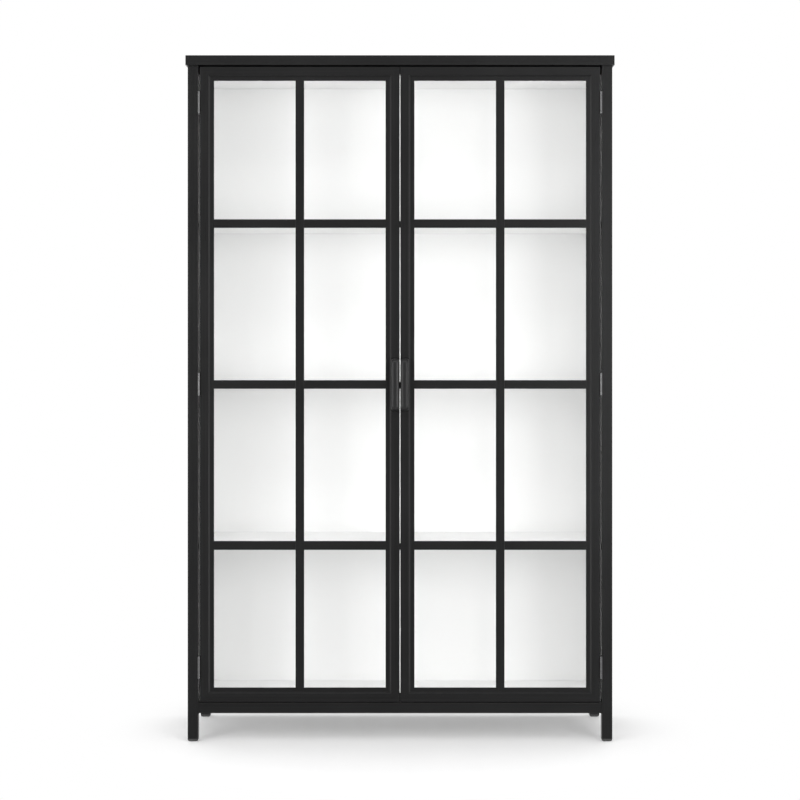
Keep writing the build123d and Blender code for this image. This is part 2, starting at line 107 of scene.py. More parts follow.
class CaseDetail(bpy.types.PropertyGroup):
    """Sizes of the fine detail"""

    edge: FloatProperty(
        name="Eased edge", description="Rounding on bars, boards and sheets", default=0.6 * MM, **LENGTH
    )
    bead_leg: FloatProperty(name="Weld leg", description="Leg of the weld beads", default=2.6 * MM, **LENGTH)
    weld_pitch: FloatProperty(
        name="Weld ripple", description="Distance between ripples along a weld", unit="LENGTH",
        min=0.1 * MM, default=1.8 * MM,
    )
    screw_segments: IntProperty(
        name="Screw segments", description="Facets round a screw head", min=12, max=64, default=32
    )


class CaseStage(bpy.types.PropertyGroup):
    """Camera, lights, room and floor"""

    distance: FloatProperty(
        name="Camera distance", description="From the front of the posts", unit="LENGTH", min=1, default=5.743
    )
    height: FloatProperty(name="Camera height", description="Above the floor", default=1.154, **LENGTH)
    lens: FloatProperty(
        name="Lens", description="Focal length in millimetres, on a 36 mm sensor", min=10, default=90.86
    )
    rise: FloatProperty(
        name="Lens shift", description="Vertical shift as a share of the picture", default=-0.08
    )
    key_power: FloatProperty(
        name="Key light", description="Large softbox above and in front", default=72, **POWER
    )
    left_power: FloatProperty(
        name="Left light", description="Tall softbox at the left", default=56, **POWER
    )
    right_power: FloatProperty(
        name="Right light", description="Tall softbox at the right", default=58, **POWER
    )
    back_power: FloatProperty(name="Back light", description="Low softbox behind", default=20, **POWER)
    top_power: FloatProperty(name="Top light", description="Softbox overhead", default=70, **POWER)
    horizon: FloatProperty(
        name="Horizon glow", description="Brightness of the room at floor level", min=0, default=0.97
    )
    ceiling: FloatProperty(
        name="Ceiling glow", description="Brightness of the room overhead", min=0, default=0.95
    )
    sides: FloatProperty(
        name="Side glow", description="Mirrored glow at both sides, as a multiple of the rest", min=0,
        default=3.5,
    )
    front: FloatProperty(
        name="Front dimming", description="Share of the mirrored glow left straight in front and behind",
        default=0.15, **SHARE,
    )
    paper: FloatProperty(name="Floor paper", description="Whiteness of the floor", default=0.8, **SHARE)


# --- surfaces -----------------------------------------------------------------------------------------------
def grid_faces(rows, columns):
    """Quads between neighbouring rows of a grid of points numbered row by row, closed across its columns."""
    row, column = np.meshgrid(np.arange(rows - 1), np.arange(columns), indexing="ij")
    following = (column + 1) % columns
    corners = [row * columns + column, row * columns + following]
    corners += [(row + 1) * columns + following, (row + 1) * columns + column]
    return np.stack(corners, -1).reshape(-1, 4)


def skin(sections):
    """A closed skin over a stack of closed sections, an array of stations by points by XYZ.

    Each section is joined to the next by quads, and the first and last are closed by flat faces."""
    stations, around, _ = sections.shape
    faces = grid_faces(stations, around).tolist()
    faces += [list(range(around)), list(range((stations - 1) * around, stations * around))]
    return sections.reshape(-1, 3), faces


def ring_skin(sections):
    """A closed skin over a stack of sections whose last joins its first, as round a picture frame."""
    points, _ = skin(sections)
    stations, around, _ = sections.shape
    faces = grid_faces(stations + 1, around) % (stations * around)
    return points, faces.tolist()


def make_piece(name, skins, finish, body, stands_for=()):
    """One object from a list of (points, faces) skins, with outward faces and a named finish."""
    points, faces, count = [], [], 0
    for skin_points, skin_faces in skins:
        points.append(skin_points)
        faces += [[count + corner for corner in face] for face in skin_faces]
        count += len(skin_points)
    mesh = bpy.data.meshes.new(name)
    mesh.from_pydata(np.concatenate(points), [], faces)
    work = bmesh.new()
    work.from_mesh(mesh)
    bmesh.ops.recalc_face_normals(work, faces=work.faces)
    work.to_mesh(mesh)
    work.free()
    mesh.shade_smooth()
    mesh.set_sharp_from_angle(angle=CRISP)
    mesh.materials.append(bpy.data.materials[finish])
    piece = bpy.data.objects.new(name, mesh)
    bpy.context.scene.collection.objects.link(piece)
    weighted = piece.modifiers.new("even shading", "WEIGHTED_NORMAL")
    weighted.keep_sharp = True
    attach(piece, body)
    if stands_for:
        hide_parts(*stands_for)
    return piece


def rounded_rectangle(half_x, half_y, radius, steps=3):
    """A closed outline: each quarter turn of a circle of this radius, pushed out to its own corner."""
    turn = np.radians(np.linspace(0, 90, steps + 1) + np.arange(4)[:, None] * 90)
    push = np.radians(45 + np.arange(4) * 90)[:, None]
    x = np.sign(np.cos(push)) * (half_x - radius) + radius * np.cos(turn)
    y = np.sign(np.sin(push)) * (half_y - radius) + radius * np.sin(turn)
    return np.stack([x.ravel(), y.ravel()], -1)


def soft_block(low, high, radius, steps=3):
    """A block with every edge rounded: rounded rectangles stacked along Z.

    Near each end they shrink by radius times one minus the cosine of an angle, while their height goes on by
    radius times its sine, so the edge follows a quarter circle."""
    low, high = np.minimum(low, high), np.maximum(low, high)
    centre, half = (low + high) / 2, (high - low) / 2
    largest_share, last_angle = 0.49, 80
    radius = min(radius, largest_share * half.min())
    angle = np.radians(np.linspace(0, last_angle, steps + 1))
    inset = radius * (1 - np.cos(angle))
    reach = half[2] - radius + radius * np.sin(angle)
    stack = [(i, -r) for i, r in zip(inset[::-1], reach[::-1])] + list(zip(inset, reach))
    sections = []
    for shrink, height in stack:
        outline = rounded_rectangle(half[0] - shrink, half[1] - shrink, radius - shrink, steps)
        sections.append(np.column_stack([outline, np.full(len(outline), height)]))
    return skin(np.array(sections) + centre)


def basis(axis):
    """Two directions at right angles to an axis, and the axis."""
    axis = np.array(Vector(axis).normalized())
    helper = np.array([0, 0, 1.0]) if abs(axis[2]) < 0.9 else np.array([1.0, 0, 0])
    side = np.cross(helper, axis)
    side /= np.linalg.norm(side)
    return side, np.cross(axis, side), axis


def turned(profile, place, axis, segments=32):
    """A lathe shape: each (radius, height) of the profile goes round the axis as a circle."""
    side, up, along = basis(axis)
    turn = np.linspace(0, 2 * np.pi, segments, endpoint=False)
    radius, height = np.array(profile).T[:, :, None]
    spread = radius[..., None] * (np.cos(turn)[:, None] * side + np.sin(turn)[:, None] * up)
    return skin(spread + height[..., None] * along + np.array(place))


def screw(place, axis, head_r, head_height, shank_r, length, segments, pitch=0.9 * MM):
    """A pan-head screw with a cross recess and a thread, its head resting at place and facing along axis.

    The head's height falls away as a quarter ellipse towards its rim. Inside a cross of two slots it drops
    by the recess, which tapers towards the slots' ends. The thread's radius rises and falls as a triangle
    wave of the height less the angle, which makes a helix."""
    side, up, along = basis(axis)
    turn = np.linspace(0, 2 * np.pi, segments, endpoint=False)
    share = np.array([0.08, 0.2, 0.32, 0.42, 0.5, 0.58, 0.68, 0.8, 0.9, 0.96, 1.0])  # of the head's radius
    foot, dome, flatness, rim = 0.35, 0.65, 0.9, 0.3  # of the head's height
    slot_half, slot_reach, recess = 0.13, 0.58, 0.55
    x, y = share[:, None] * np.cos(turn), share[:, None] * np.sin(turn)
    top = head_height * (foot + dome * np.sqrt(1 - flatness * share[:, None] ** 2)) * np.ones_like(x)
    top[-1] = head_height * rim
    narrow = np.minimum(np.abs(x), np.abs(y))
    long = np.maximum(np.abs(x), np.abs(y))
    slot = np.clip((slot_half - narrow) / 0.05, 0, 1) * np.clip((slot_reach - long) / 0.12, 0, 1)
    height = top - recess * head_height * slot
    rings = [np.stack([head_r * x, head_r * y, height], -1)]
    ring = np.stack([np.cos(turn), np.sin(turn)], -1)
    rings.append(np.column_stack([ring * head_r, np.zeros(segments)])[None])
    depth = np.arange(0, length, pitch / 4)
    wave = np.abs(((depth[:, None] / pitch + turn / (2 * np.pi)) % 1) * 2 - 1)
    taper = np.clip((length - depth[:, None]) / (2 * shank_r), 0.3, 1)
    radius = (shank_r * (0.8 + 0.2 * wave)) * taper
    rings.append(np.stack([radius * np.cos(turn), radius * np.sin(turn), -depth[:, None] + 0 * turn], -1))
    local = np.concatenate(rings)
    return skin(local[..., :1] * side + local[..., 1:2] * up + local[..., 2:] * along + np.array(place))


def mitred_ring(outline, low, high, y):
    """An outline carried round a rectangle in a plane that faces the front, mitred at its four corners.

    The outline's first measure is the distance in from the rectangle, and its second runs along Y."""
    corners = np.array([(low[0], low[1]), (high[0], low[1]), (high[0], high[1]), (low[0], high[1])])
    inward = np.array([(1, 1), (-1, 1), (-1, -1), (1, -1)])
    flat = corners[:, None, :] + inward[:, None, :] * outline[None, :, :1]
    depth = np.broadcast_to(y + outline[None, :, 1:], flat[..., :1].shape)
    return ring_skin(np.concatenate([flat[..., :1], depth, flat[..., 1:]], -1))


def strip_outline(centreline, thickness):
    """The outline of a strip that follows a line: the line moved half the thickness to each side."""
    ahead = np.gradient(centreline, axis=0)
    ahead /= np.linalg.norm(ahead, axis=1)[:, None]
    across = np.stack([-ahead[:, 1], ahead[:, 0]], -1) * thickness / 2
    return np.concatenate([centreline + across, (centreline - across)[::-1]])


def upright(outline, low, high, ease):
    """An outline in X and Y carried up Z, drawn in slightly towards its middle at both ends."""
    middle = outline.mean(0)
    levels = [(low, 1 - ease), (low + ease * 4 * MM, 1), (high - ease * 4 * MM, 1), (high, 1 - ease)]
    rings = [np.column_stack([middle + (outline - middle) * s, np.full(len(outline), z)]) for z, s in levels]
    return skin(np.array(rings))


# --- node trees ---------------------------------------------------------------------------------------------
def add(tree, kind, inputs=None, **settings):
    """A node with its settings and its inputs; an input is a value, or a socket to link from."""
    node = tree.nodes.new(kind)
    for key, value in settings.items():
        setattr(node, key, value)
    for key, value in (inputs or {}).items():
        if isinstance(value, bpy.types.NodeSocket):
            tree.links.new(value, node.inputs[key])
        else:
            node.inputs[key].default_value = value
    return node


def noise(tree, place, per_metre, detail):
    """A noise value, by how fine and how detailed it is."""
    return add(tree, "ShaderNodeTexNoise", {"Vector": place, "Scale": per_metre, "Detail": detail}).outputs[0]


def remap(tree, value, span=(0.0, 1.0), onto=(0.0, 1.0), kind="LINEAR"):
    """A value moved from one span onto another and kept inside it."""
    limits = {"From Min": span[0], "From Max": span[1], "To Min": onto[0], "To Max": onto[1]}
    return add(tree, "ShaderNodeMapRange", {"Value": value, **limits}, interpolation_type=kind).outputs[0]


def product(tree, first, second):
    """Two values multiplied."""
    return add(tree, "ShaderNodeMath", {0: first, 1: second}, operation="MULTIPLY").outputs[0]


def sum_of(tree, first, second, scale):
    """The first value plus a scaled second one."""
    node = add(tree, "ShaderNodeMath", {0: second, 1: scale, 2: first}, operation="MULTIPLY_ADD")
    return node.outputs[0]


def tint(tree, low, high, factor):
    """A colour between two, by a factor."""
    mix = add(tree, "ShaderNodeMix", {"Factor": factor}, data_type="RGBA")
    for socket, colour in (("A_Color", low), ("B_Color", high)):
        place = next(s for s in mix.inputs if s.identifier == socket)
        if isinstance(colour, bpy.types.NodeSocket):
            tree.links.new(colour, place)
        else:
            place.default_value = (*colour, 1)
    return next(s for s in mix.outputs if s.identifier == "Result_Color")


def group_tree(name, number, default, outputs):
    """An empty shader group that takes a place and one number, as (tree, its inputs, its outputs)."""
    tree = bpy.data.node_groups.new(name, "ShaderNodeTree")
    tree.interface.new_socket("Vector", in_out="INPUT", socket_type="NodeSocketVector")
    made = tree.interface.new_socket(number, in_out="INPUT", socket_type="NodeSocketFloat")
    made.default_value = default
    for socket in outputs:
        tree.interface.new_socket(socket, in_out="OUTPUT", socket_type="NodeSocketFloat")
    return tree, tree.nodes.new("NodeGroupInput").outputs, tree.nodes.new("NodeGroupOutput").inputs


def grouped(tree, name, place, number):
    """The outputs of a shader group at a place, with its number."""
    node = add(tree, "ShaderNodeGroup", {0: place, 1: number}, node_tree=bpy.data.node_groups[name])
    return node.outputs


def coat_grain_group():
    """Sprayed coat: a fine peel for the height, and broad clouds for the sheen."""
    tree, given, out = group_tree("Coat grain", "Peel per metre", 600.0, ["Peel", "Cloud"])
    tree.links.new(noise(tree, given[0], given[1], 2.0), out["Peel"])
    tree.links.new(remap(tree, noise(tree, given[0], 5.0, 4.0), (0.3, 0.7)), out["Cloud"])


def drawn_lines_group():
    """Long faint lines left along a tube or sheet by the mill, under the paint."""
    tree, given, out = group_tree("Drawn lines", "Contrast", 1.0, ["Lines"])
    lines = remap(tree, noise(tree, given[0], 1.0, 3.0), (0.32, 0.68))
    tree.links.new(product(tree, lines, given[1]), out["Lines"])


def edge_wear_group():
    """Rubbed edges: where the rounded-off normal leaves the true one, broken up by noise."""
    tree, given, out = group_tree("Edge wear", "Radius", 0.6 * MM, ["Wear"])
    soft = add(tree, "ShaderNodeBevel", {"Radius": given[1]}, samples=4).outputs[0]
    true = add(tree, "ShaderNodeNewGeometry").outputs["Normal"]
    match = add(tree, "ShaderNodeVectorMath", {0: soft, 1: true}, operation="DOT_PRODUCT").outputs["Value"]
    patches = remap(tree, noise(tree, given[0], 260.0, 4.0), (0.42, 0.62))
    tree.links.new(product(tree, remap(tree, match, (0.995, 0.86)), patches), out["Wear"])


def settled_dust_group():
    """Fine dust on faces that look up, patchy."""
    tree, given, out = group_tree("Settled dust", "Amount", 0.1, ["Dust"])
    normal = add(tree, "ShaderNodeNewGeometry").outputs["Normal"]
    upward = add(tree, "ShaderNodeSeparateXYZ", {"Vector": normal}).outputs["Z"]
    patches = remap(tree, noise(tree, given[0], 22.0, 6.0), (0.3, 0.75))
    layer = product(tree, remap(tree, upward, (0.6, 1.0)), patches)
    tree.links.new(product(tree, layer, given[1]), out["Dust"])


# --- materials ----------------------------------------------------------------------------------------------
def start_material(name):
    """A material's tree, its Principled shader and its Object coordinates."""
    material = bpy.data.materials.new(name)
    material.use_nodes = True
    tree = material.node_tree
    return tree, tree.nodes["Principled BSDF"], add(tree, "ShaderNodeTexCoord").outputs["Object"]


def grey(level):
    """An even grey."""
    return (level, level, level)


def brighter(colour, share):
    """A colour multiplied by a share."""
    return tuple(share * c for c in colour)


def around(tree, value, middle, below, above=None):
    """A value from 0 to 1 spread around a middle."""
    return remap(tree, value, onto=(middle - below, middle + (below if above is None else above)))


def dress(tree, shader, base, rough, height, strength, depth):
    """Link a colour and a roughness, and a height as a bump with its strength and depth."""
    bump = add(tree, "ShaderNodeBump", {"Height": height, "Strength": strength, "Distance": depth})
    for socket, source in {"Base Color": base, "Roughness": rough, "Normal": bump.outputs[0]}.items():
        tree.links.new(source, shader.inputs[socket])


def drawn_lines(tree, place, per_metre):
    """The lines that drawing or brushing leaves in metal, by how many cross a metre of each axis."""
    stretched = add(tree, "ShaderNodeMapping", {"Vector": place, "Scale": per_metre}).outputs[0]
    return grouped(tree, "Drawn lines", stretched, 1.0)["Lines"]


def powder_coat(name, colour, roughness, along, worn=False):
    """Satin black powder coat with the steel's drawn lines showing faintly along its length."""
    tree, shader, place = start_material(name)
    across, lengthwise = 230.0, 1.6
    lines = drawn_lines(tree, place, [lengthwise if axis == along else across for axis in "XYZ"])
    coat = grouped(tree, "Coat grain", place, 650.0)
    dust = grouped(tree, "Settled dust", place, 0.05)["Dust"]
    base = tint(tree, colour, brighter(colour, 1.8), lines)
    base = tint(tree, base, (0.30, 0.29, 0.28), dust)
    rough = sum_of(tree, around(tree, coat["Cloud"], roughness, 0.045), lines, -0.06)
    rough = sum_of(tree, rough, dust, 0.6)
    if worn:
        wear = grouped(tree, "Edge wear", place, 0.7 * MM)["Wear"]
        base = tint(tree, base, grey(0.16), wear)
        tree.links.new(remap(tree, wear, onto=(0.0, 0.7)), shader.inputs["Metallic"])
    dress(tree, shader, base, rough, sum_of(tree, coat["Peel"], lines, 0.5), 0.16, 0.3 * MM)
    shader.inputs["Specular IOR Level"].default_value = 0.17


def white_coat(name, colour, roughness, peel):
    """White satin lacquer or powder coat: a fine peel, a slight mottling and a little dust on top."""
    tree, shader, place = start_material(name)
    coat = grouped(tree, "Coat grain", place, peel)
    dust = grouped(tree, "Settled dust", place, 0.08)["Dust"]
    base = tint(tree, brighter(colour, 0.985), colour, coat["Cloud"])
    base = tint(tree, base, (0.62, 0.61, 0.59), dust)
    rough = around(tree, coat["Cloud"], roughness, 0.04, 0.06)
    dress(tree, shader, base, rough, coat["Peel"], 0.12, 0.2 * MM)


def hinge_black(name, colour):
    """Glossy black on pressed steel, rubbed to the metal along its edges."""
    tree, shader, place = start_material(name)
    coat = grouped(tree, "Coat grain", place, 420.0)
    wear = grouped(tree, "Edge wear", place, 0.5 * MM)["Wear"]
    base = tint(tree, colour, brighter(colour, 1.6), coat["Cloud"])
    base = tint(tree, base, (0.34, 0.34, 0.35), wear)
    rough = remap(tree, coat["Cloud"], onto=(0.2, 0.3))
    dress(tree, shader, base, rough, coat["Peel"], 0.12, 0.2 * MM)
    tree.links.new(remap(tree, wear, onto=(0.0, 0.9)), shader.inputs["Metallic"])
    shader.inputs["Specular IOR Level"].default_value = 0.9


def zinc_plate(name, colour):
    """Zinc-plated steel: brushed, a little yellow and blue in the plating, greyer at the rubbed edges."""
    tree, shader, place = start_material(name)
    lines = drawn_lines(tree, place, (60.0, 60.0, 1400.0))
    coat = grouped(tree, "Coat grain", place, 300.0)
    wear = grouped(tree, "Edge wear", place, 0.3 * MM)["Wear"]
    warm = tuple(c * t for c, t in zip(colour, (1.06, 1.0, 0.86)))
    cold = tuple(c * t for c, t in zip(colour, (0.9, 0.97, 1.06)))
    base = tint(tree, tint(tree, warm, cold, coat["Peel"]), grey(0.42), wear)
    dress(tree, shader, base, remap(tree, lines, onto=(0.36, 0.5)), lines, 0.1, 0.1 * MM)
    shader.inputs["Metallic"].default_value = 1.0


def matt_mould(name, colour, roughness, speckle, strength):
    """Moulded rubber or plastic: a fine spark-eroded texture and a bloom of dust."""
    tree, shader, place = start_material(name)
    coat = grouped(tree, "Coat grain", place, speckle)
    dust = grouped(tree, "Settled dust", place, 0.25)["Dust"]
    wear = grouped(tree, "Edge wear", place, 0.5 * MM)["Wear"]
    base = tint(tree, colour, brighter(colour, 2.0), coat["Cloud"])
    base = tint(tree, tint(tree, base, grey(0.1), wear), (0.20, 0.19, 0.18), dust)
    rough = around(tree, coat["Peel"], roughness, 0.08)
    dress(tree, shader, base, rough, coat["Peel"], strength, 0.15 * MM)


def magnet_steel(name):
    """The grey metal of the catches' pole plates, scratched where the door meets it."""
    tree, shader, place = start_material(name)
    lines = drawn_lines(tree, place, (30.0, 900.0, 900.0))
    tree.links.new(tint(tree, grey(0.22), (0.36, 0.36, 0.37), lines), shader.inputs["Base Color"])
    tree.links.new(remap(tree, lines, onto=(0.3, 0.5)), shader.inputs["Roughness"])
    shader.inputs["Metallic"].default_value = 1.0


def float_glass(name):
    """Clear float glass with faint smears. Light from lamps and off matt surfaces goes straight through."""
    tree, shader, place = start_material(name)
    plain = {"Transmission Weight": 1.0, "Roughness": 0.0, "IOR": 1.5, "Base Color": (0.996, 1.0, 0.998, 1)}
    for socket, value in plain.items():
        shader.inputs[socket].default_value = value
    smears = noise(tree, place, 3.0, 2.0)
    bump = add(tree, "ShaderNodeBump", {"Height": smears, "Strength": 0.02, "Distance": 1 * MM})
    tree.links.new(bump.outputs[0], shader.inputs["Normal"])
    path = add(tree, "ShaderNodeLightPath").outputs
    clear = add(tree, "ShaderNodeBsdfTransparent").outputs[0]
    surface = shader.outputs[0]
    for ray in ("Is Diffuse Ray", "Is Shadow Ray"):
        surface = add(tree, "ShaderNodeMixShader", {0: path[ray], 1: surface, 2: clear}).outputs[0]
    tree.links.new(surface, tree.nodes["Material Output"].inputs["Surface"])


def finish_nodes(names, finish):
    """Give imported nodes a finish, by its name."""
    for name in names:
        mesh = frame["nodes"][name].data
        mesh.materials.clear()
        mesh.materials.append(bpy.data.materials[finish])


def ease_edges(names, width):
    """Round the hard edges of packed sheets and boards, as a modifier on a merged mesh."""
    for name in names:
        node = frame["nodes"][name]
        weld = node.modifiers.new("merge", "WELD")
        weld.merge_threshold = 0.01 * MM
        bevel = node.modifiers.new("eased edges", "BEVEL")
        bevel.width, bevel.segments = width, 2
        bevel.limit_method, bevel.angle_limit = "ANGLE", np.radians(40)


# --- operators ----------------------------------------------------------------------------------------------
class CASE_OT_mix_finishes(bpy.types.Operator):
    """Make the shared node groups and the materials"""

    bl_idname = "display_case.mix_finishes"
    bl_label = "Mix Finishes"

    def execute(self, context):
        coat_grain_group()
        drawn_lines_group()
        edge_wear_group()
        settled_dust_group()
        finish = context.scene.case_finish
        paint = tuple(finish.paint)
        for along in "XYZ":
            powder_coat(f"black paint along {along}", paint, finish.paint_roughness, along)
        # The handles get the black paint made twice as light. This is a painted sheen for the light their
        # rounded fronts catch. Their edges are worn.
        powder_coat("handle paint", brighter(paint, 2.0), finish.paint_roughness - 0.04, "Z", worn=True)
        hinge_black("hinge black", tuple(finish.hinge))
        white_coat("white lacquer", tuple(finish.lacquer), 0.36, 420.0)
        white_coat("white powder coat", tuple(finish.lacquer), 0.45, 650.0)
        zinc_plate("zinc plate", tuple(finish.plating))
        matt_mould("rubber", tuple(finish.rubber), 0.72, 900.0, 0.3)
        matt_mould("black nylon", tuple(finish.plastic), 0.5, 1400.0, 0.35)
        magnet_steel("magnet steel")
        float_glass("float glass")
        return {"FINISHED"}


class CASE_OT_paint_frame(bpy.types.Operator):
    """Paint the posts, rails, cap and steel panels, and ease the sheet edges"""

    bl_idname = "display_case.paint_frame"
    bl_label = "Paint Frame"

    def execute(self, context):
        posts = {name for name in frame["nodes"] if name.startswith("post_")}
        rails = {name for name in frame["nodes"] if name.startswith(("bottom_rail_", "top_rail_"))}
        crosswise = {name for name in rails if name.endswith(("front", "rear"))}
        panels = {"side_panel_left", "side_panel_right", "back_panel"}
        finish_nodes(posts | panels, "black paint along Z")
        strips = {"door_stop", "shelf_nosings"}
        finish_nodes(crosswise | strips | {"top_cap"}, "black paint along X")
        finish_nodes(rails - crosswise, "black paint along Y")
        ease_edges(panels - {"back_panel"} | strips, context.scene.case_detail.edge)
        return {"FINISHED"}


class CASE_OT_lacquer_boards(bpy.types.Operator):
    """Finish the white boards, lining and shelf cleats"""

    bl_idname = "display_case.lacquer_boards"
    bl_label = "Lacquer Boards"

    def execute(self, context):
        boards = [n for n in frame["nodes"] if "liner" in n or n.startswith("shelf_board")]
        boards += ["deck_board", "ceiling_panel"]
        finish_nodes(boards, "white lacquer")
        finish_nodes(["shelf_cleats"], "white powder coat")
        ease_edges(boards + ["shelf_cleats"], context.scene.case_detail.edge)
        return {"FINISHED"}


class CASE_OT_paint_doors(bpy.types.Operator):
    """Paint the door frames, glazing bars and beads, and plate the strike plates"""

    bl_idname = "display_case.paint_doors"
    bl_label = "Paint Doors"

    def execute(self, context):
        ease = context.scene.case_detail.edge
        for side in SIDES:
            stiles = [f"door_{side}_hinge_stile", f"door_{side}_meeting_stile"]
            rails = [f"door_{side}_top_rail", f"door_{side}_bottom_rail"]
            uprights, levels = f"door_{side}_vertical_bar", f"door_{side}_horizontal_bars"
            beads, strike = f"door_{side}_glass_beads", f"door_{side}_strike_plate"
            finish_nodes([*stiles, uprights], "black paint along Z")
            finish_nodes([*rails, levels, beads], "black paint along X")
            finish_nodes([strike], "zinc plate")
            ease_edges([uprights, levels, beads, strike], ease)
        return {"FINISHED"}


class CASE_OT_glaze_doors(bpy.types.Operator):
    """Put the glass in, with rubber strips all round it and behind each bar"""

    bl_idname = "display_case.glaze_doors"
    bl_label = "Glaze Doors"

    def execute(self, context):
        for side in SIDES:
            finish_nodes([f"door_{side}_glass"], "float glass")
            self.rubber(side)
        return {"FINISHED"}

    def rubber(self, side):
        """Two mitred strips, one each side of the glass, and flat strips behind the bars."""
        seal_low, seal_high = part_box(f"door_{side}_glazing_seal")
        glass_low, glass_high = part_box(f"door_{side}_glass")
        front, rear = (seal_low.y, glass_low.y), (glass_high.y, seal_high.y)
        width, rear_width, lip_r, ease = 12 * MM, 8 * MM, 0.42 * MM, 0.4 * MM
        corners = (seal_low.x, seal_low.z), (seal_high.x, seal_high.z)
        skins = []
        for (near, far), across in ((front, width), (rear, rear_width)):
            outline = rounded_rectangle(across / 2, (far - near) / 2, lip_r) + (across / 2, 0)
            skins.append(mitred_ring(outline, *corners, (near + far) / 2))
        inner_low = np.array([seal_low.x, front[0], seal_low.z]) + (width, 0, width)
        inner_high = np.array([seal_high.x, front[1], seal_high.z]) - (width, 0, width)
        half = width / 2
        bar_low, bar_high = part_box(f"door_{side}_vertical_bar")
        middle = (bar_low.x + bar_high.x) / 2
        low, high = (middle - half, front[0], inner_low[2]), (middle + half, front[1], inner_high[2])
        skins.append(soft_block(low, high, ease))
        for height in bar_levels(side):
            for near, far in ((inner_low[0], middle - half), (middle + half, inner_high[0])):
                low, high = (near, front[0], height - half), (far, front[1], height + half)
                skins.append(soft_block(low, high, ease))
        stands_for = [f"door_{side}_glazing_seal"]
        make_piece(f"{side}_glazing_rubber", skins, "rubber", f"{side}_door", stands_for)


def bar_levels(side):
    """Heights of the three rows of glazing bars, from the box of their node: the outer two and their mean."""
    low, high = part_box(f"door_{side}_horizontal_bars")
    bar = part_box(f"door_{side}_vertical_bar")
    half = (bar[1].x - bar[0].x) / 2
    return np.linspace(low.z + half, high.z - half, 3)


class CASE_OT_fit_handles(bpy.types.Operator):
    """Make the pull handles and the screws that hold them from inside the door"""

    bl_idname = "display_case.fit_handles"
    bl_label = "Fit Handles"

    def execute(self, context):
        for side in SIDES:
            low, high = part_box(f"door_{side}_handle")
            make_piece(
                f"{side}_pull_handle", [self.grip(low, high)], "handle paint", f"{side}_door",
                [f"door_{side}_handle"],
            )
            self.screws(side, context.scene.case_detail.screw_segments)
        return {"FINISHED"}

    def grip(self, low, high):
        """A half-oval bar carried along a U-shaped path.

        The section is two half superellipses that share a width: |u/a|^n + |v/b|^n = 1, nearly square (n = 7)
        towards the door and oval (n = 2.3) towards the hand. The path is the bar's inner face: out from the
        door, round a quarter circle, along, and back the same way."""
        thickness, bend, flat = 7 * MM, 6 * MM, 2.2 * MM
        oval, square = 2.3, 7
        half_width = (high.x - low.x) / 2
        turn = np.linspace(0, 2 * np.pi, 40, endpoint=False)
        outer = np.sin(turn) >= 0
        power = np.where(outer, 2 / oval, 2 / square)
        u = np.sign(np.cos(turn)) * np.abs(np.cos(turn)) ** power * half_width
        swell = np.where(outer, thickness - flat, flat)
        v = np.sign(np.sin(turn)) * np.abs(np.sin(turn)) ** power * swell + flat
        inner_top, inner_bottom = high.z - thickness, low.z + thickness
        grip_y = low.y + thickness
        arc = np.linspace(0, np.pi / 2, 9)
        upper_y = grip_y + bend - bend * np.sin(arc)
        upper_z = inner_top - bend + bend * np.cos(arc)
        path_y = np.concatenate([[high.y], upper_y, upper_y[::-1], [high.y]])
        lower_z = inner_top + inner_bottom - upper_z[::-1]
        path_z = np.concatenate([[inner_top], upper_z, lower_z, [inner_bottom]])
        lean = np.concatenate([[0], arc, np.pi - arc[::-1], [np.pi]])
        out_y, out_z = -np.sin(lean), np.cos(lean)
        middle = (low.x + high.x) / 2
        x = np.broadcast_to(middle + u, (len(path_y), len(u)))
        y = path_y[:, None] + out_y[:, None] * v
        z = path_z[:, None] + out_z[:, None] * v
        return skin(np.stack([x, y, z], -1))

    def screws(self, side, segments):
        """Two screws a door, their heads against the back of the meeting stile."""
        low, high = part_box(f"door_{side}_handle_screws")
        head_r, head_height, shank_r = (high.x - low.x) / 2, 2.2 * MM, 2 * MM
        seat = high.y - head_height
        middle = (low.x + high.x) / 2
        skins = [
            screw((middle, seat, z), (0, 1, 0), head_r, head_height, shank_r, seat - low.y, segments)
            for z in (low.z + head_r, high.z - head_r)
        ]
        stands_for = [f"door_{side}_handle_screws"]
        make_piece(f"{side}_handle_screws", skins, "zinc plate", f"{side}_door", stands_for)


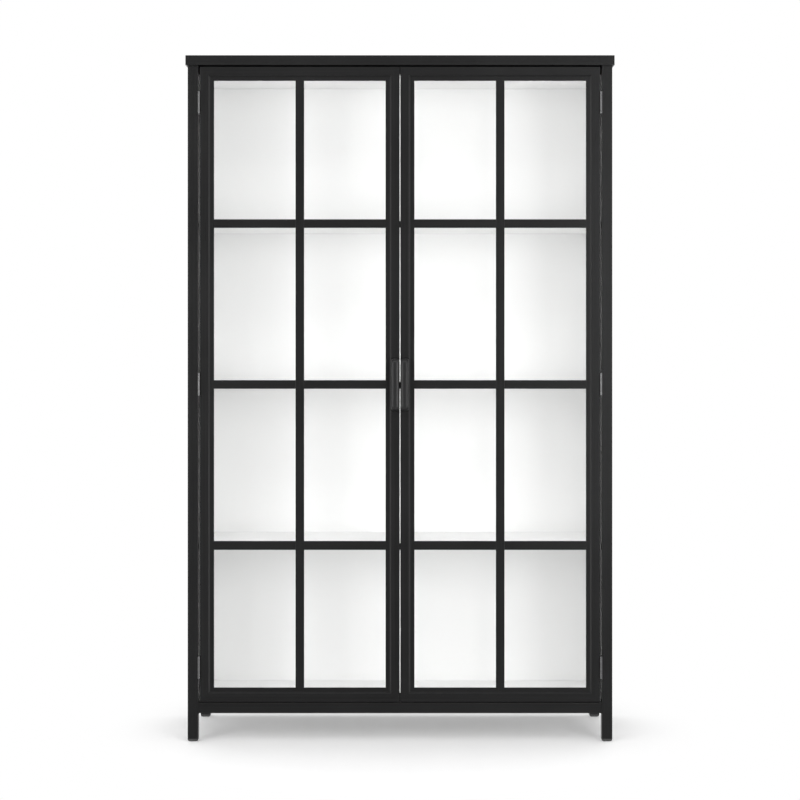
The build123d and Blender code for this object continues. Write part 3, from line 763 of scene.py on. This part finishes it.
class CASE_OT_hang_hinges(bpy.types.Operator):
    """Make the rolled hinge leaves, their screws and the domed pins"""

    bl_idname = "display_case.hang_hinges"
    bl_label = "Hang Hinges"

    length = 63 * MM
    knuckle_r = 3.2 * MM
    knuckle_gap = 0.6 * MM  # between neighbouring knuckles
    gap = 4.5 * MM  # beside the door, which the two leaves fill
    leaf = 1.5 * MM  # thickness
    notch = 3.8 * MM  # from the hinge line back to a leaf's plate
    depth = 19.6 * MM  # of a plate, from front to back
    roll = 290  # degrees of the strip's turn round the barrel
    screw_size = (2.6 * MM, 0.35 * MM, 1.2 * MM, 1.3 * MM)  # head radius and height, shank radius and length
    screw_spots = ((12 * MM, -22 * MM), (16 * MM, 0), (12 * MM, 22 * MM))  # back from the line, and up
    pin_r, dome_r, dome_height = 1.5 * MM, 2.6 * MM, 1.2 * MM

    def execute(self, context):
        segments = context.scene.case_detail.screw_segments
        case_skins, case_screws = [], []
        for side, sign in SIDES.items():
            x, y, heights = self.axis(side)
            for z in heights:
                case_skins += self.leaf_skins(x, y, z, sign, (0, 2))
                case_screws += self.leaf_screws(x, y, z, sign, segments)
            door = [s for z in heights for s in self.leaf_skins(x, y, z, -sign, (1,))]
            screws = [s for z in heights for s in self.leaf_screws(x, y, z, -sign, segments)]
            self.piece(f"{side}_door_hinge_knuckles", door, f"{side}_door", [f"door_{side}_hinge_leaves"])
            self.piece(f"{side}_door_hinge_screws", screws, f"{side}_door", [])
        self.piece("case_hinge_knuckles", case_skins, "case", ["hinge_case_leaves"])
        self.piece("case_hinge_screws", case_screws, "case", [])
        pins = [self.pin(*self.axis(side)[:2], z) for side in SIDES for z in self.axis(side)[2]]
        self.piece("domed_hinge_pins", pins, "case", ["hinge_pins"])
        return {"FINISHED"}

    def piece(self, name, skins, body, stands_for):
        make_piece(name, skins, "hinge black", body, stands_for)

    def axis(self, side):
        """The hinge line's X and Y, and the heights of the three hinges on it."""
        x, y, middle = JOINTS[f"{side}_door_hinge"]["pos_m"]
        low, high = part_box(f"door_{side}_hinge_leaves")
        return x, y, (low.z + self.length / 2, middle, high.z - self.length / 2)

    def leaf_skins(self, x, y, z, outward, numbers):
        """A plate in the gap beside the door, and its knuckles: the strip's own line runs up to the barrel
        and then round it along a circle."""
        low, high = z - self.length / 2, z + self.length / 2
        spine = x + outward * self.gap / 2
        near, far = y + self.notch, y + self.notch + self.depth
        plate_ease, strap_lap, knuckle_ease = 0.3 * MM, 0.4 * MM, 0.06
        skins = [soft_block((spine - outward * self.leaf, near, low), (spine, far, high), plate_ease)]
        roll_r = self.knuckle_r - self.leaf / 2
        offset = self.gap / 2 - self.leaf / 2
        first = np.arccos(offset / roll_r)
        turn = first - np.radians(np.linspace(0, self.roll, 30))
        roll = np.stack([x + outward * roll_r * np.cos(turn), y + roll_r * np.sin(turn)], -1)
        strap = np.array([[x + outward * offset, y + self.notch + strap_lap]])
        outline = strip_outline(np.concatenate([strap, roll]), self.leaf)
        step = (self.length + self.knuckle_gap) / 3
        for number in numbers:
            bottom = low + number * step
            skins.append(upright(outline, bottom, bottom + step - self.knuckle_gap, knuckle_ease))
        return skins

    def leaf_screws(self, x, y, z, outward, segments):
        """Three low-headed screws in a leaf, on its inner face."""
        face = x + outward * (self.gap / 2 - self.leaf)
        return [
            screw((face, y + dy, z + dz), (-outward, 0, 0), *self.screw_size, segments)
            for dy, dz in self.screw_spots
        ]

    def pin(self, x, y, z):
        """A pin with a domed head at each end: the head's radius follows a quarter ellipse."""
        angle = np.radians(np.linspace(0, 84, 7))
        half = self.length / 2
        dome = list(zip(self.dome_r * np.cos(angle), half + self.dome_height * np.sin(angle)))
        profile = [(r, -h) for r, h in dome[::-1]] + [(self.pin_r, -half), (self.pin_r, half)] + dome
        return turned(profile, (x, y, z), (0, 0, 1))


class CASE_OT_fit_screws(bpy.types.Operator):
    """Make the screws of the back panel and of the glass beads"""

    bl_idname = "display_case.fit_screws"
    bl_label = "Fit Screws"

    def execute(self, context):
        segments = context.scene.case_detail.screw_segments
        low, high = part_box("back_screws")
        head_r, head_height, shank_r, length = 3.5 * MM, 1.8 * MM, 1.7 * MM, 6 * MM
        x, z = (low.x + head_r, high.x - head_r), (low.z + head_r, high.z - head_r)
        levels, crossings = np.linspace(*z, 7), np.linspace(*x, 5)[1:-1]
        size = (head_r, head_height, shank_r, length)
        skins = self.border(x, z, levels, crossings, high.y - head_height, size, segments)
        make_piece("back_panel_screws", skins, "zinc plate", "case", ["back_screws"])
        for side in SIDES:
            self.bead_screws(side, segments)
        return {"FINISHED"}

    def border(self, x, z, levels, crossings, seat, size, segments):
        """Screws that face the back, up both sides of a rectangle and across its bottom and top."""
        spots = [(edge, level) for edge in x for level in levels]
        spots += [(across, level) for level in z for across in crossings]
        return [screw((sx, seat, sz), (0, 1, 0), *size, segments) for sx, sz in spots]

    def bead_screws(self, side, segments):
        """Small black screws along the inner face of the beads."""
        low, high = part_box(f"door_{side}_glass_beads")
        inset, from_corner = 5 * MM, 60 * MM
        size = (2.2 * MM, 0.9 * MM, 1 * MM, 5 * MM)  # head radius and height, shank radius and length
        x, z = (low.x + inset, high.x - inset), (low.z + inset, high.z - inset)
        levels = np.linspace(z[0] + from_corner, z[1] - from_corner, 6)
        crossings = np.linspace(x[0] + from_corner, x[1] - from_corner, 3)
        skins = self.border(x, z, levels, crossings, high.y, size, segments)
        make_piece(f"{side}_bead_screws", skins, "hinge black", f"{side}_door")


class CASE_OT_mould_glides(bpy.types.Operator):
    """Make the moulded foot glides under the posts"""

    bl_idname = "display_case.mould_glides"
    bl_label = "Mould Glides"

    def execute(self, context):
        low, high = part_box("foot_glides")
        half, stem, chamfer = 15 * MM, 13.55 * MM, 5.5 * MM
        x = (low.x + half, high.x - half)
        y = (low.y + half, high.y - half)
        skins = [self.glide(px, py, half, chamfer, stem, high.z) for px in x for py in y]
        make_piece("moulded_foot_glides", skins, "black nylon", "case", ["foot_glides"])
        return {"FINISHED"}

    def glide(self, x, y, half, chamfer, stem, top):
        """Rounded squares stacked along Z: a flat sole, a curve out to the full width, then the stem's ribs.

        The curve is a quarter ellipse, flattened so that it bows out less than a circle would."""
        sole, pad, corner_r, ease, rib_depth = 9.5 * MM, 8 * MM, 2 * MM, 0.3 * MM, 1.2 * MM
        share = np.linspace(0, 1, 7)
        rise = chamfer * share**1.15
        spread = sole + (half - 0.2 * MM - sole) * np.sin(share * np.pi / 2) ** 0.9
        levels = [(0, sole - 0.6 * MM)] + list(zip(rise + 0.15 * MM, spread))
        levels += [(chamfer + 0.7 * MM, half), (pad - ease, half), (pad, half - ease), (pad, stem)]
        for rib in np.linspace(pad + 2 * MM, top - 4 * MM, 4):
            levels += [(rib, stem - rib_depth), (rib + 0.6 * MM, stem), (rib + 1.6 * MM, stem)]
            levels += [(rib + 2 * MM, stem - rib_depth)]
        levels += [(top, stem - 2 * MM)]
        rings = []
        for height, reach in levels:
            outline = rounded_rectangle(reach, reach, corner_r) + (x, y)
            rings.append(np.column_stack([outline, np.full(len(outline), height)]))
        return skin(np.array(rings))


class CASE_OT_fit_catches(bpy.types.Operator):
    """Make the magnetic catches and the domed rubber buffers"""

    bl_idname = "display_case.fit_catches"
    bl_label = "Fit Catches"

    def execute(self, context):
        low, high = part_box("magnetic_catches")
        width, corner_r = 46 * MM, 1.4 * MM
        plate, plate_r, inset, spacing = 1.6 * MM, 0.3 * MM, 9 * MM, 5.2 * MM
        front, back = low.y + 0.3 * MM, low.y + 2.3 * MM
        housings, poles = [], []
        for near in (low.x, high.x - width):
            housings.append(soft_block((near, front, low.z), (near + width, high.y, high.z), corner_r, 4))
            left, right = near + inset, near + width - inset
            for lift in (-spacing / 2, spacing / 2):
                level = (low.z + high.z) / 2 + lift
                bottom, top = level - plate / 2, level + plate / 2
                poles.append(soft_block((left, low.y, bottom), (right, back, top), plate_r))
        make_piece("catch_housings", housings, "black nylon", "case", ["magnetic_catches"])
        make_piece("catch_pole_plates", poles, "magnet steel", "case")
        self.buffers()
        return {"FINISHED"}

    def buffers(self):
        """Rubber discs on the door stop and top rail: flat rims with a quarter-ellipse dome in front."""
        low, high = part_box("door_buffers")
        radius, thickness = 4 * MM, 1.8 * MM
        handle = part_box("door_right_handle")
        outer, inner = high.x - radius, (handle[0].x + handle[1].x) / 2
        angle = np.radians(np.linspace(0, 80, 6))
        dome = list(zip(radius * (0.55 + 0.45 * np.cos(angle)), thickness * (0.45 + 0.55 * np.sin(angle))))
        profile = [(radius, 0), (radius, 0.4 * thickness)] + dome + [(0.3 * radius, thickness)]
        skins = [
            turned(profile, (sign * x, high.y, z), (0, -1, 0))
            for z in (low.z + radius, high.z - radius) for sign in SIDES.values() for x in (inner, outer)
        ]
        make_piece("domed_door_buffers", skins, "rubber", "case", ["door_buffers"])


class CASE_OT_lay_welds(bpy.types.Operator):
    """Lay the weld beads where the bottom rails meet the posts and the posts meet the cap"""

    bl_idname = "display_case.lay_welds"
    bl_label = "Lay Welds"

    def execute(self, context):
        detail = context.scene.case_detail
        leg, pitch, length, inset = detail.bead_leg, detail.weld_pitch, 27 * MM, 1.5 * MM
        rails, cap = [], []
        for end in ("front", "rear"):
            for side, sign in SIDES.items():
                low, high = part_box(f"post_{end}_{side}")
                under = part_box("bottom_rail_front")[0].z
                inner_x = high.x if sign < 0 else low.x
                inner_y = high.y if end == "front" else low.y
                back = 1 if end == "front" else -1
                outer_x = low.x if sign < 0 else high.x
                runs = (
                    (rails, (inner_x, low.y + inset, under), (0, 1, 0), (-sign, 0, 0)),
                    (rails, (low.x + inset, inner_y, under), (1, 0, 0), (0, back, 0)),
                    (cap, (outer_x, low.y + inset, high.z), (0, 1, 0), (sign, 0, 0)),
                )
                for beads, start, along, aside in runs:
                    beads.append(self.bead(start, along, aside, (0, 0, -1), length, leg, pitch))
        make_piece("rail_weld_beads", rails, "black paint along X", "case")
        make_piece("cap_weld_beads", cap, "black paint along X", "case")
        return {"FINISHED"}

    def bead(self, start, along, first, second, length, leg, pitch):
        """A fillet weld in the corner of two faces.

        Its section is a quarter circle between the two legs, closed by a corner that is sunk a little way
        into the steel. Its size ripples along the run like a laid bead: 0.88 of the leg, and 0.12 more times
        the rectified sine of the distance over the pitch, and it tapers at both ends."""
        stations_a_ripple, thinnest = 6, 0.15
        distance = np.linspace(0, length, int(length / pitch * stations_a_ripple))
        ends = np.clip(np.minimum(distance, length - distance) / leg, thinnest, 1) ** 0.5
        size = leg * ends * (0.88 + 0.12 * np.abs(np.sin(np.pi * distance / pitch)))
        angle = np.linspace(0, np.pi / 2, 7)
        first, second, along = (np.array(v, float) for v in (first, second, along))
        arc = np.cos(angle)[:, None] * first + np.sin(angle)[:, None] * second
        sunk = -0.3 * (first + second)
        section = np.concatenate([arc, [0.9 * second - 0.15 * first, sunk, 0.9 * first - 0.15 * second]])
        points = np.array(start) + distance[:, None, None] * along + size[:, None, None] * section[None]
        return skin(points)


class CASE_OT_set_stage(bpy.types.Operator):
    """Set the floor, the lights, the room and the camera"""

    bl_idname = "display_case.set_stage"
    bl_label = "Set Stage"

    softboxes = {  # place, the point looked at, width and height
        "key": ((0, -4.2, 4.9), (0, 0, 0.9), 3.6, 2.2),
        "left": ((-2.5, -3.3, 1.3), (0, 0, 1.1), 1.4, 2.2),
        "right": ((1.9, -3.7, 1.3), (0.2, 0, 1.1), 1.2, 2.2),
        "back": ((0, 3.2, 0.9), (0, 0, 0.4), 3.0, 1.4),
        "top": ((0, 0.7, 5.5), (0, 0, 0), 3.0, 2.0),
    }

    def execute(self, context):
        scene, stage = context.scene, context.scene.case_stage
        scene.view_settings.view_transform = "Standard"
        self.floor(stage)
        self.room(stage)
        panes = self.spared()
        for name, (place, target, width, height) in self.softboxes.items():
            power = getattr(stage, f"{name}_power")
            self.softbox(panes, f"{name} softbox", place, target, width, height, power)
        self.camera(scene, stage)
        return {"FINISHED"}

    def floor(self, stage):
        """A flat square sheet: x and y run evenly from minus the reach to plus the reach, and z is 0. The
        paper catches shadows near the case and fades to even white further out."""
        reach, cells, fade_span = 6.0, 20, (0.52, 0.92)
        line = np.linspace(-reach, reach, cells + 1)
        x, y = np.meshgrid(line, line, indexing="ij")
        points = np.stack([x, y, 0 * x], -1).reshape(-1, 3)
        row, column = np.meshgrid(np.arange(cells), np.arange(cells), indexing="ij")
        first = (row * (cells + 1) + column).ravel()
        faces = np.stack([first, first + cells + 1, first + cells + 2, first + 1], -1)
        mesh = bpy.data.meshes.new("floor")
        mesh.from_pydata(points, [], faces.tolist())
        floor = bpy.data.objects.new("floor", mesh)
        bpy.context.scene.collection.objects.link(floor)
        tree, shader, place = start_material("floor paper")
        dull, bright = grey(stage.paper - 0.01), grey(stage.paper + 0.01)
        tree.links.new(tint(tree, dull, bright, noise(tree, place, 60.0, 3.0)), shader.inputs["Base Color"])
        shader.inputs["Roughness"].default_value = 0.9
        shader.inputs["Specular IOR Level"].default_value = 0.0
        away = add(tree, "ShaderNodeVectorMath", {0: place}, operation="LENGTH").outputs["Value"]
        fade = remap(tree, away, fade_span, kind="SMOOTHSTEP")
        white = add(tree, "ShaderNodeEmission", {"Strength": 1.0}).outputs[0]
        mix = add(tree, "ShaderNodeMixShader", {0: fade, 1: shader.outputs[0], 2: white})
        tree.links.new(mix.outputs[0], tree.nodes["Material Output"].inputs["Surface"])
        mesh.materials.append(bpy.data.materials["floor paper"])
        floor.visible_glossy = False

    def room(self, stage):
        """White to the camera, also through glass, and a dome of light to matt surfaces. In reflections the
        dome is dimmer in an oval in front and behind, and brighter straight out to the two sides."""
        oval, dim_span, side_span, overhead = (2.9, 0.0, 1.6), (0.1, 1.0), (2.3, 2.85), 0.85
        world = bpy.data.worlds.new("room")
        world.use_nodes = True
        tree = world.node_tree
        glow = tree.nodes["Background"]
        place = add(tree, "ShaderNodeTexCoord").outputs["Generated"]
        height = add(tree, "ShaderNodeSeparateXYZ", {"Vector": place}).outputs["Z"]
        dome = remap(tree, height, (0.0, overhead), (stage.horizon, stage.ceiling))
        squeezed = add(tree, "ShaderNodeVectorMath", {0: place, 1: oval}, operation="MULTIPLY").outputs[0]
        aside = add(tree, "ShaderNodeVectorMath", {0: squeezed}, operation="LENGTH").outputs["Value"]
        dimmed = product(tree, dome, remap(tree, aside, dim_span, (stage.front, 1.0), "SMOOTHSTEP"))
        shaped = product(tree, dimmed, remap(tree, aside, side_span, (1.0, stage.sides), "SMOOTHSTEP"))
        path = add(tree, "ShaderNodeLightPath").outputs
        strength = add(tree, "ShaderNodeMix", {"Factor": path["Is Glossy Ray"], "A": dome, "B": shaped})
        tree.links.new(strength.outputs["Result"], glow.inputs["Strength"])
        glow.inputs["Color"].default_value = (1, 1, 1, 1)
        white = add(tree, "ShaderNodeBackground", {"Strength": 1.0, "Color": (1, 1, 1, 1)}).outputs[0]
        either = {0: path["Is Camera Ray"], 1: path["Is Transmission Ray"]}
        direct = add(tree, "ShaderNodeMath", either, operation="MAXIMUM").outputs[0]
        mix = add(tree, "ShaderNodeMixShader", {0: direct, 1: glow.outputs[0], 2: white})
        tree.links.new(mix.outputs[0], tree.nodes["World Output"].inputs["Surface"])
        bpy.context.scene.world = world

    def spared(self):
        """The panes, which the softboxes leave out so that no lamp mirrors in them."""
        panes = bpy.data.collections.new("panes")
        for side in SIDES:
            panes.objects.link(frame["nodes"][f"door_{side}_glass"])
        for entry in panes.collection_objects:
            entry.light_linking.link_state = "EXCLUDE"
        return panes

    def softbox(self, unlit, name, place, target, width, height, power):
        """A rectangular area light that looks at a point and leaves out the objects of one collection."""
        lamp = bpy.data.lights.new(name, "AREA")
        lamp.shape = "RECTANGLE"
        lamp.size, lamp.size_y, lamp.energy = width, height, power
        light = bpy.data.objects.new(name, lamp)
        light.location = place
        light.rotation_euler = (Vector(target) - Vector(place)).to_track_quat("-Z", "Y").to_euler()
        light.visible_camera = False
        light.light_linking.receiver_collection = unlit
        bpy.context.scene.collection.objects.link(light)

    def camera(self, scene, stage):
        """A level camera with a long lens in front of the doors, above the middle."""
        sensor, far = 36, 200
        data = bpy.data.cameras.new("camera")
        data.lens, data.sensor_width, data.shift_y, data.clip_end = stage.lens, sensor, stage.rise, far
        camera = bpy.data.objects.new("camera", data)
        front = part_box("post_front_left")[0].y
        camera.location = (0, front - stage.distance, stage.height)
        camera.rotation_euler = (np.pi / 2, 0, 0)
        scene.collection.objects.link(camera)
        scene.camera = camera


class CASE_PT_sidebar(bpy.types.Panel):
    """The steps that finish the case, in order"""

    bl_label = "Glazed Display Case"
    bl_idname = "CASE_PT_sidebar"
    bl_space_type = "VIEW_3D"
    bl_region_type = "UI"
    bl_category = "Display Case"

    def draw(self, context):
        for group in (context.scene.case_finish, context.scene.case_detail, context.scene.case_stage):
            box = self.layout.box()
            for name in type(group).__annotations__:
                box.prop(group, name)
        for step in STEPS:
            self.layout.operator(step.bl_idname)


STEPS = (
    CASE_OT_mix_finishes,
    CASE_OT_paint_frame,
    CASE_OT_lacquer_boards,
    CASE_OT_paint_doors,
    CASE_OT_glaze_doors,
    CASE_OT_fit_handles,
    CASE_OT_hang_hinges,
    CASE_OT_fit_screws,
    CASE_OT_mould_glides,
    CASE_OT_fit_catches,
    CASE_OT_lay_welds,
    CASE_OT_set_stage,
)
SETTINGS = {"case_finish": CaseFinish, "case_detail": CaseDetail, "case_stage": CaseStage}
CLASSES = (*SETTINGS.values(), *STEPS, CASE_PT_sidebar)


def register():
    for made in CLASSES:
        bpy.utils.register_class(made)
    for name, group in SETTINGS.items():
        setattr(bpy.types.Scene, name, PointerProperty(type=group))


def unregister():
    for name in SETTINGS:
        delattr(bpy.types.Scene, name)
    for made in reversed(CLASSES):
        bpy.utils.unregister_class(made)


def main():
    register()
    bpy.ops.display_case.mix_finishes()
    bpy.ops.display_case.paint_frame()
    bpy.ops.display_case.lacquer_boards()
    bpy.ops.display_case.paint_doors()
    bpy.ops.display_case.glaze_doors()
    bpy.ops.display_case.fit_handles()
    bpy.ops.display_case.hang_hinges()
    bpy.ops.display_case.fit_screws()
    bpy.ops.display_case.mould_glides()
    bpy.ops.display_case.fit_catches()
    bpy.ops.display_case.lay_welds()
    bpy.ops.display_case.set_stage()


if __name__ == "__main__":
    main()
